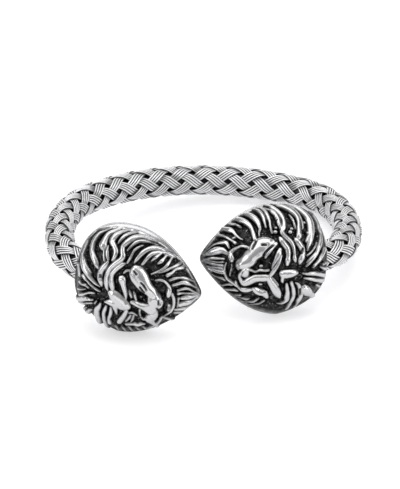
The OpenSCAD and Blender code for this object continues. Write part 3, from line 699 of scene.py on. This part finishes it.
RIGHT_REAR = [
    [(-8.9, 10, .3), (-9.5, 8.9, .33), (-10, 7.8, .33), (-10.3, 6.8, .33), (-10.4, 5.8, .33),
     (-10.7, 4.6, .3), (-10.7, 3, .35), (-10.4, 1.8, .4), (-10, .8, .35), (-9.6, -.2, .3),
     (-9, -1.2, .25), (-8.4, -2, .2), (-7.7, -2.8, .2), (-7.1, -3.4, .15)],
    [(-11.8, 3, .15), (-11.6, 1.6, .3), (-11.3, .4, .35), (-10.8, -.6, .35), (-10.3, -1.5, .33),
     (-9.7, -2.3, .25), (-9.1, -3, .25), (-8.6, -3.5, .15)],
    [(-9.8, .6, .15), (-9.2, -.2, .2), (-8.5, -1.1, .2), (-7.9, -1.8, .2), (-7.3, -2.4, .15)],
    [(-9.6, 2.4, .15), (-9.2, 1.4, .15), (-8.6, .4, .15), (-8, -.3, .15), (-7.3, -.9, .12)],
    [(-11.9, -1, .15), (-11.5, -1.9, .25), (-11.1, -2.4, .2)],
    [(-11.6, -3.3, .35), (-11, -3.2, .25), (-10.4, -3.1, .15)],
    [(-11, -5, .4), (-9.8, -4.9, .45), (-8.6, -5, .4), (-7.4, -5.2, .25), (-6.2, -5.1, .1)],
    [(-10.8, -6.4, .45), (-9.4, -6.4, .4), (-8, -6.3, .3), (-6.6, -6.2, .15)],
    [(-10.2, -7.9, .2), (-9.4, -7.6, .2)],
    [(-6.6, -8.2, .3), (-7, -8.9, .8), (-7.6, -9.6, .8), (-8.2, -10, .5)],
]
RIGHT_FORELOCKS = [
    [(-4.6, 2.9, .2), (-5.2, 2.4, .5), (-5.8, 1.6, .55), (-6.3, .6, .48), (-6.5, -.3, .35), (-6.3, -1.2, .48),
     (-5.9, -2.1, .45), (-5.6, -2.9, .2)],
    [(2.4, 12.4, .4), (1.4, 11.6, .42), (.6, 10.9, .4), (-.3, 10.1, .35), (-1.1, 9.3, .35), (-1.7, 8.3, .35),
     (-2, 7.3, .35), (-2.1, 6.4, .4), (-2, 5.6, .42), (-1.6, 4.8, .4), (-1.9, 3.9, .4), (-2.8, 3, .4),
     (-3.6, 2.2, .4), (-4.1, 1.2, .35), (-4.3, .2, .3), (-4.4, -.9, .25), (-4.5, -1.8, .38),
     (-4.6, -2.5, .15)],
    [(-1, 3, .2), (-1.5, 2.4, .45), (-2.2, 1.5, .5), (-2.8, .6, .5), (-3, -.3, .48), (-3, -1.4, .4),
     (-2.9, -2.2, .48), (-2.7, -3.2, .3)],
]
RIGHT_SIDE_LOCKS = [
    [(-4.6, -7.3, .15), (-5.3, -7.8, .3), (-5.6, -8.6, .35), (-5.7, -9.6, .4), (-5.8, -10.4, .4),
     (-5.4, -11.2, .48), (-4.9, -11.9, .25)],
    [(-3.6, -7.3, .3), (-3.9, -8.2, .3), (-4.1, -9.2, .35), (-4.1, -10.2, .35), (-3.8, -11, .35),
     (-3.3, -11.7, .3)],
    [(-2.5, -7.6, .25), (-2.6, -8.6, .35), (-2.7, -9.6, .4), (-2.6, -10.4, .48), (-2.4, -11.1, .4),
     (-1.4, -11.5, .2), (-.2, -11.5, .1)],
]
RIGHT_FACE = [
    [(.6, 2.1, .4), (1.6, 1.9, .9), (2.6, 1.6, 1.3), (3.5, .9, 1.5), (4.5, .1, 1.35), (5.3, -.9, 1.2),
     (6.2, -1.7, 1.3), (7.2, -2.3, 1.25), (8.1, -2.9, .9)],
    [(-.2, 1.6, .3), (.6, .8, .35), (1.4, -.2, .35), (2, -1, .3), (2.4, -1.8, .15)],
    [(8.9, -2.6, .3), (9, -3.4, .28), (8.7, -4.1, .2)],
    [(-1.1, .2, .3), (-.9, -.6, .5), (-.5, -1.4, .45), (0, -2.4, .3), (.6, -3.4, .2), (.9, -4.2, .1)],
    [(-1.4, -1.2, .15), (-1, -2.4, .25), (-.4, -3.6, .3), (.3, -4.6, .35), (.9, -5.4, .35), (1.4, -6, .3)],
    [(1.6, -6.2, .4), (2.6, -6.4, .6), (3.8, -6.4, .6), (5, -6.5, .65), (6, -6.9, .65), (7, -7.3, .6),
     (7.6, -7.3, .5), (8.2, -6.6, .35), (8.5, -5.7, .3), (8, -4.9, .25), (7.2, -4.3, .3)],
    [(7, -4.6, .5), (7.2, -5.4, .65)],
    [(1.7, -4.6, .2), (2.6, -4.7, .2), (3.6, -4.5, .2), (4.8, -4.9, .15), (5.8, -4.5, .2), (6.8, -4.2, .25)],
    [(1.6, -6.6, .5), (1, -7.6, .6), (.2, -8.8, .72), (-.4, -9.7, .65), (-.8, -10.3, .25)],
    [(.9, -6.2, .1), (.2, -6.9, .15), (-.5, -7.8, .15)],
    [(6, .4, .15), (6.8, .9, .25), (7.8, 1.1, .25), (8.8, .7, .25), (9.8, .3, .3), (10.6, -.3, .4),
     (10.5, -1.1, .55), (10.3, -1.9, .45)],
    [(-4.9, -4.9, .4), (-4.1, -5.2, .65), (-3.1, -5.4, .75), (-2.2, -5.5, .75), (-1.5, -5.4, .5),
     (-1.3, -4.9, .2)],
    [(-1.6, -6, .35), (-1.5, -6.8, .3), (-1.6, -7.2, .15)],
    [(5.9, -8.7, .3), (6.8, -8.8, .45), (7.8, -8.7, .4), (8.6, -8.2, .25), (9.2, -7.4, .22),
     (9.4, -6.9, .25)],
    [(2.2, -10.3, .35), (2.8, -9.7, .6), (3.8, -9.4, .6), (4.6, -9, .55), (5.3, -8.6, .3)],
]
# Lines that are cut back into plates and locks: place and half width
LEFT_CUTS = [
    [(3.3, 1.3, .12), (4.1, .6, .15), (4.7, -.2, .12)],
    [(3.2, .2, .1), (4.2, -.9, .12)],
    [(1.4, 3.7, .1), (2, 3.1, .2)],
    [(-6.1, 1.4, .2), (-6.1, 1, .2)],
    [(7.8, -2.6, .12), (8, -3.5, .15)],
]
RIGHT_CUTS = [
    [(.6, 1, .1), (1.6, .2, .12), (2.4, -.6, .12), (2.8, -1.2, .1)],
    [(2.2, 1.15, .15), (3.1, 1.15, .15)],
    [(4.6, 2, .15), (5, 1.2, .2), (5.4, .3, .1)],
    [(-6.2, .6, .15), (-6, -.3, .2)],
    [(-5.5, -8.6, .1), (-5.5, -9.8, .15)],
    [(12, 1.3, .1), (13.4, 1.6, .1), (14.6, 1.3, .1), (15.4, .9, .1)],
]
# Bright grains that stand in the hollows of the right head: place and half width
RIGHT_GRAINS = [
    (3.4, -3.6, .25), (3.6, -7.7, .3), (0, 4.4, .3), (-.1, 5.4, .2), (-3.8, 5.3, .25),
    (-3.5, 4.5, .3), (-6.7, 7.1, .2), (-7.5, 4.6, .2),
]
# Hills and hollows under the strokes: place, radius and height
SWELL = [(5, -3.2, 8, 1), (7.4, -3.6, 3, .8)]
LEFT_HILLS = SWELL + [
    (3.8, -2.3, 1.8, -.9), (8.2, .2, 1.8, -1.4), (4.8, -6.6, 1, -.7), (3.8, -8.2, 1.4, -.8),
    (9.9, -3.5, 1.5, -1), (5.4, 5, 2.2, -.7), (-4.9, -3.6, 1.3, -.6), (-7.6, -4.5, .9, -.4),
    (-7, 6.5, .9, -.4), (-4.4, 7.3, .6, -.4),
]
RIGHT_HILLS = SWELL + [
    (7.3, 4.5, 2.2, -.7), (8.3, -.3, 1.7, -1.3), (3.4, -3, 1.7, -.9), (3.6, -7.8, 1.6, -.8),
    (9.8, -4, 1.6, -1), (-5.5, -3.8, 1.5, -.6), (-6.5, -7.2, 1, -.5), (-3.3, 7, .8, -.4),
    (0, 7.2, .6, -.4),
]


SIGHT = np.array([sin(radians(SIGHT_TURN)) * cos(radians(SIGHT_LIFT)),
                  cos(radians(SIGHT_TURN)) * cos(radians(SIGHT_LIFT)), sin(radians(SIGHT_LIFT))])
CHART_X = np.array([cos(radians(SIGHT_TURN)), -sin(radians(SIGHT_TURN)), 0])
CHART_Y = np.cross(CHART_X, SIGHT)


def section(u):
    """Share of the full section at a place from -1, the rear, to 1, the tip."""
    rear = np.maximum(0, 1 - np.abs(np.minimum(u, 0)) ** REAR_POWER) ** (1 / REAR_POWER)
    front = np.maximum(0, 1 - np.maximum(u, 0) ** FRONT_POWER)
    blunt = np.sqrt(front * (front + TIP_ROUND) / (1 + TIP_ROUND))
    return np.where(u < 0, rear, blunt)


def place_u(x):
    """A place from -1 to 1 along a head, kept just short of its two ends."""
    return np.where(x < 0, np.maximum(REAR_END, x / HEAD_REAR), np.minimum(TIP_END, x / HEAD_FRONT))


def dome(p, q):
    """Points of the smooth dome at places of a round disc."""
    rise = np.arcsin(np.clip(q / np.sqrt(np.maximum(1e-9, 1 - p * p)), -1, 1))
    k = section(p)
    x = np.where(p < 0, p * HEAD_REAR, p * HEAD_FRONT)
    return np.stack([x, HEAD_OUT * k * np.cos(rise), HEAD_HALF * k * np.sin(rise)], -1)


def dome_st(s, t):
    """Points of the dome at places of a square, spread over the disc."""
    return dome(s * np.sqrt(1 - t * t / 2), t * np.sqrt(1 - s * s / 2))


def unit(vectors):
    return vectors / np.linalg.norm(vectors, axis=-1, keepdims=True)


def dome_normal(points):
    """The outward direction of the dome at points on it."""
    x, y, z = points.T
    step = 0.01
    k = np.maximum(TINY, section(place_u(x)))
    slope = (section(place_u(x + step)) - section(place_u(x - step))) / (2 * step)
    return unit(np.stack([-slope / k, y / (HEAD_OUT * k) ** 2, z / (HEAD_HALF * k) ** 2], -1))


def slid(points, sight):
    """Points slid along a sight line until they meet the dome."""
    flat = points - (points @ sight)[:, None] * sight
    depth = np.full(len(points), SLIDE_START)
    for _ in range(SLIDE_STEPS):
        k = section(place_u((flat + depth[:, None] * sight)[:, 0]))
        sy = 1 / np.maximum(TINY, HEAD_OUT * k)
        sz = 1 / np.maximum(TINY, HEAD_HALF * k)
        a = (sight[1] * sy) ** 2 + (sight[2] * sz) ** 2
        b = flat[:, 1] * sight[1] * sy ** 2 + flat[:, 2] * sight[2] * sz ** 2
        g = (flat[:, 1] * sy) ** 2 + (flat[:, 2] * sz) ** 2 - 1
        depth = (-b + np.sqrt(np.maximum(0, b * b - a * g))) / a
    return flat + depth[:, None] * sight


def under(points, sight, heights):
    """Dome points whose raised crests lie on the sight lines through the given points."""
    foot = slid(points, sight)
    for _ in range(CREST_STEPS):
        foot = slid(points - dome_normal(foot) * heights(foot)[:, None], sight)
    return foot


def on_chart(places):
    places = np.array(places, float)
    return places[:, :1] * CHART_X + places[:, 1:2] * CHART_Y


def hill_heights(points, hills):
    height = np.zeros(len(points))
    for across, up, radius, top in hills:
        x = np.linalg.norm(points - slid(on_chart([(across, up)]), SIGHT), axis=1) / radius
        height += np.where(x < 1, top * (1 - np.minimum(1, x) ** 2) ** 2, 0)
    return height


def smooth_line(points):
    """A Catmull-Rom curve through points."""
    p = np.array([points[0], *points, points[-1]], float)
    t = (np.arange(CURVE_STEPS) / CURVE_STEPS)[:, None]
    spans = []
    for p0, p1, p2, p3 in zip(p, p[1:], p[2:], p[3:]):
        spans.append(0.5 * (2 * p1 + (p2 - p0) * t + (2 * p0 - 5 * p1 + 4 * p2 - p3) * t ** 2
                            + (3 * p1 - p0 - 3 * p2 + p3) * t ** 3))
    return np.vstack([*spans, p[-2:-1]])


def crest_line(spots, sight, top, hills):
    """A stroke's line on the dome, so that its crest is seen where the chart has it."""
    seen = under(on_chart(spots[:, :2]), SIGHT, lambda p: np.full(len(p), LOCK_H))
    seen = seen + dome_normal(seen) * LOCK_H
    return under(seen, sight, lambda p: hill_heights(p, hills) + top)


def run_on(row):
    """A row whose end that is closer to the rim runs on over it, where it lies near."""
    row = [np.array(point, float) for point in row]
    first, last = slid(on_chart([row[0][:2], row[-1][:2]]), SIGHT)[:, 1]
    if min(first, last) > NEAR_RIM:
        return row
    if first < last:
        row = row[::-1]
    step = (row[-1] - row[-2]) * (1, 1, 0)
    return [*row, row[-1] + PAST_RIM * step / np.linalg.norm(step)]


def stroke_at(points, sight, row, hills):
    """The points under a stroke: which, how far out and in they are, and its height and width there."""
    spots = smooth_line(run_on(row))
    widths = spots[:, 2] * STROKE_SPREAD + STROKE_FOOT
    tops = LOCK_H * np.minimum(TALLEST, widths / FULL_WIDTH) ** 0.5
    line = crest_line(spots, sight, tops, hills)
    middle = line.mean(0)
    reach = np.linalg.norm(line - middle, axis=1).max() + widths.max()
    near = np.where(np.linalg.norm(points - middle, axis=1) < reach)[0]
    share, inside, top, width = np.ones(len(near)), *np.zeros((3, len(near)))
    for a, b, w0, w1, h0, h1 in zip(line, line[1:], widths, widths[1:], tops, tops[1:]):
        ab = b - a
        f = np.clip((points[near] - a) @ ab / max(1e-9, ab @ ab), 0, 1)
        wide = w0 + (w1 - w0) * f
        d = np.linalg.norm(points[near] - a - f[:, None] * ab, axis=1)
        closer = d / wide < share
        share[closer] = (d / wide)[closer]
        top[closer] = (h0 + (h1 - h0) * f)[closer]
        width[closer] = wide[closer]
        inside = np.maximum(inside, wide - d)
    return near, share, inside, top, width


def relief(points, sight, strokes, cuts, hills):
    """Height of the relief at points of the dome, and how polished they are."""
    height, polish = np.zeros(len(points)), np.zeros(len(points))
    for row in strokes:
        near, share, inside, top, wide = stroke_at(points, sight, row, hills)
        power = np.interp(wide, RIDGE_WIDTHS, RIDGE_POWERS)
        height[near] = np.maximum(height[near], top * (1 - share ** power) ** 0.5)
        polish[near] = np.maximum(polish[near], np.clip(inside / EDGE_SHADE, 0, 1))
    for row in cuts:
        near, share, *_ = stroke_at(points, sight, row, hills)
        height[near] -= CUT_DEPTH * (1 - share ** 2)
        polish[near] *= 1 - CUT_DARK * (1 - share ** 2)
    return height + hill_heights(points, hills), polish


def drawn_in(points):
    """The low rear corner of a head is drawn in."""
    rear = np.clip(-points[:, 0] / HEAD_REAR, 0, 1)
    low = np.clip(-points[:, 2] / HEAD_HALF, 0, 1)
    shaped = points.copy()
    shaped[:, 2] *= 1 - LOW_REAR * rear * low
    return shaped


def dome_grid():
    """Points of the dome's mesh, their outward directions, and how far in from the rim they are."""
    line = np.linspace(-1, 1, CELLS + 1)
    s, t = [g.ravel() for g in np.meshgrid(line, line, indexing="ij")]
    e = SLOPE_STEP
    along_t = dome_st(s, np.minimum(1, t + e)) - dome_st(s, np.maximum(-1, t - e))
    along_s = dome_st(np.minimum(1, s + e), t) - dome_st(np.maximum(-1, s - e), t)
    inward = 1 - np.maximum(np.abs(s), np.abs(t))
    return dome_st(s, t), unit(np.cross(along_t, along_s)), inward


def raised_dome(sight, strokes, cuts, hills):
    """The dome's points with the relief on them, lower near the rim, and how polished they are, with painted
    shade on the low side of the rim band.
    """
    points, normals, inward = dome_grid()
    height, polish = relief(points, sight, strokes, cuts, hills)
    x = np.clip(inward / RIM_FADE, 0, 1)
    rim_share = RIM_RELIEF + (1 - RIM_RELIEF) * x * x * (3 - 2 * x)
    band = 1 - np.clip((inward - RIM_BAND) / RIM_BAND, 0, 1) ** 2
    raised = points + normals * np.maximum(height * rim_share, band * RIM_H)[:, None]
    # Painted light and shade on the polished rim band: bright towards the top of the head, darker towards its
    # low side.
    rim_top_light = np.clip((points @ CHART_Y - RIM_LOW) / (RIM_HIGH - RIM_LOW), 0, 1)
    return raised, np.maximum(polish, band * (LOW_RIM_SHADED_POLISH + (1 - LOW_RIM_SHADED_POLISH) * rim_top_light))


def inner_side(outline):
    """Rings of points from the rim inwards, and the middle, of the smooth side at the wrist."""
    middle = np.array([INNER_MIDDLE_X, -HEAD_IN, 0])
    rings = []
    for share in np.cos(np.linspace(0, pi / 2, INNER_RINGS + 1)[1:-1]):
        full = np.maximum(INNER_LEAST, section(place_u(outline[:, 0] * share)))
        depth = HEAD_IN * full ** INNER_FULLNESS
        sunk = (1 - share ** INNER_POWER) ** (1 / INNER_POWER)
        rings.append(np.stack([
            middle[0] + (outline[:, 0] - middle[0]) * share,
            outline[:, 1] - (depth + outline[:, 1]) * sunk,
            outline[:, 2] * share], -1))
    return rings, middle


def at(i, j):
    """The number of the dome's point in a row and a column of its mesh."""
    return i * (CELLS + 1) + j


def head_mesh_data(side, strokes, cuts, hills):
    """Points, faces and polish of a head in its own frame: X to the tip, Y outwards, Z up."""
    place = np.array(head_place(side))[:3, :3]
    sight = unit(place.T @ np.array([0, -cos(radians(LOOK_DOWN)), sin(radians(LOOK_DOWN))]))
    raised, polish = raised_dome(sight, strokes, cuts, hills)
    k = np.arange(CELLS)
    rim = np.concatenate([at(0, k), at(k, CELLS), at(CELLS, CELLS - k), at(CELLS - k, 0)])
    rings, middle = inner_side(raised[rim])
    all_points = drawn_in(np.vstack([raised, *rings, middle[None]]))
    polish = np.concatenate([polish, np.ones(len(all_points) - len(polish))])

    i, j = [g.ravel() for g in np.meshgrid(k, k, indexing="ij")]
    faces = [np.stack([at(i, j), at(i, j + 1), at(i + 1, j + 1), at(i + 1, j)], -1)]
    around = len(rim)
    loops = [rim] + [len(raised) + m * around + np.arange(around) for m in range(len(rings))]
    for outer, inner in zip(loops, loops[1:]):
        faces.append(np.stack([outer, inner, np.roll(inner, -1), np.roll(outer, -1)], -1))
    last = loops[-1]
    caps = np.stack([last, np.full(around, len(all_points) - 1), np.roll(last, -1)], -1)
    return all_points, np.vstack(faces), caps, polish


def make_head(name, side, strokes, cuts, hills, material):
    points, quads, caps, polish = head_mesh_data(side, strokes, cuts, hills)
    place = np.array(head_place(side))
    points = (points @ place[:3, :3].T + place[:3, 3]) * MM
    points = np.clip(points, np.array(CAD_BOX[0]), np.array(CAD_BOX[1]))
    if side < 0:
        # The left head's frame is mirrored, so its faces are turned to point outwards again.
        quads, caps = quads[:, ::-1], caps[:, ::-1]
    mesh = bpy.data.meshes.new(name)
    mesh.from_pydata(points, [], quads.tolist() + caps.tolist())
    mesh.attributes.new("polish", "FLOAT", "POINT").data.foreach_set("value", polish)
    mesh.shade_smooth()
    mesh.materials.append(material)
    head = bpy.data.objects.new(name, mesh)
    bpy.context.collection.objects.link(head)
    return head


# The stage: table, light and camera

def make_stage():
    bpy.ops.mesh.primitive_plane_add(size=TABLE_SIZE)
    floor = bpy.context.object
    floor.name = "table"
    floor.data.materials.append(table_top())


def area_light(name, place, size, power):
    light = bpy.data.lights.new(name, "AREA")
    light.shape = "RECTANGLE"
    light.size, light.size_y = size
    light.energy = power
    lamp = bpy.data.objects.new(name, light)
    lamp.location = place
    lamp.rotation_euler = (-Vector(place)).to_track_quat("-Z", "Y").to_euler()
    bpy.context.collection.objects.link(lamp)


def make_light():
    for lamp in LAMPS:
        area_light(*lamp)
    world = bpy.data.worlds.new("white_room")
    world.use_nodes = True
    world.node_tree.nodes.clear()
    tree = Tree(world.node_tree)
    way = tree.add("ShaderNodeTexCoord")["Generated"]
    height = tree.add("ShaderNodeSeparateXYZ", inputs={0: way})["Z"]
    colour = grey_ramp(tree, height, ROOM_GREYS)
    room = tree.add("ShaderNodeBackground", inputs={"Color": colour, "Strength": ROOM_STRENGTH})
    tree.add("ShaderNodeOutputWorld", inputs={"Surface": room})
    bpy.context.scene.world = world
    bpy.context.scene.view_settings.view_transform = "Standard"


def make_camera():
    """A far camera with a long lens, looking down at the photograph's angle."""
    down = radians(LOOK_DOWN)
    back = Vector((0, -cos(down), sin(down)))
    upright = Matrix.Rotation(pi / 2 - down, 4, "X")
    leaning = upright @ Matrix.Rotation(-radians(CAMERA_LEAN), 4, "Z")
    right, up = leaning.to_3x3().col[0], leaning.to_3x3().col[1]
    across = (IMAGE_W / 2 - ORIGIN_PIXEL[0]) / PIXELS_PER_MM * MM
    above = (ORIGIN_PIXEL[1] - IMAGE_H / 2) / PIXELS_PER_MM * MM
    camera = bpy.data.cameras.new("camera")
    camera.sensor_width = SENSOR
    camera.lens = SENSOR * CAMERA_AWAY / (IMAGE_H / PIXELS_PER_MM * MM)
    camera.clip_start, camera.clip_end = CLIP_NEAR, CLIP_FAR
    eye = bpy.data.objects.new("camera", camera)
    eye.matrix_world = Matrix.Translation(right * across + up * above + back * CAMERA_AWAY) @ leaning
    bpy.context.collection.objects.link(eye)
    bpy.context.scene.camera = eye


def build():
    make_camera()
    make_light()
    make_stage()
    spine, length = spine_object()
    braid = make_braid(spine, length, braided_silver())
    core = grown("core", spine, core_tree(dark_core()), {"Radius": CORE_R * MM, "Sides": CORE_SIDES})
    bpy.data.objects.remove(spine)
    silver = cast_silver()
    left = (LEFT_CROWN + LEFT_FAR_SIDE + LEFT_BEARD + LEFT_REAR + LEFT_FORELOCKS + LEFT_SIDE_LOCKS
            + LEFT_FACE)
    grains = [[(x - GRAIN_HALF, y, w), (x + GRAIN_HALF, y, w)] for x, y, w in RIGHT_GRAINS]
    right = (RIGHT_CROWN + RIGHT_FAR_SIDE + RIGHT_BEARD + RIGHT_REAR + RIGHT_FORELOCKS
             + RIGHT_SIDE_LOCKS + RIGHT_FACE + grains)
    heads = [("left_head", -1, "left_lion_head", left, LEFT_CUTS, LEFT_HILLS),
             ("right_head", 1, "right_lion_head", right, RIGHT_CUTS, RIGHT_HILLS)]
    for name, side, node, strokes, cuts, hills in heads:
        head = make_head(name, side, strokes, cuts, hills, silver)
        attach(head, "root")
        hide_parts(node)
    for ribbons in braid:
        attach(ribbons, "root")
        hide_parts("woven_sleeve")
    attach(core, "root")
    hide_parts("core_rod")


build()
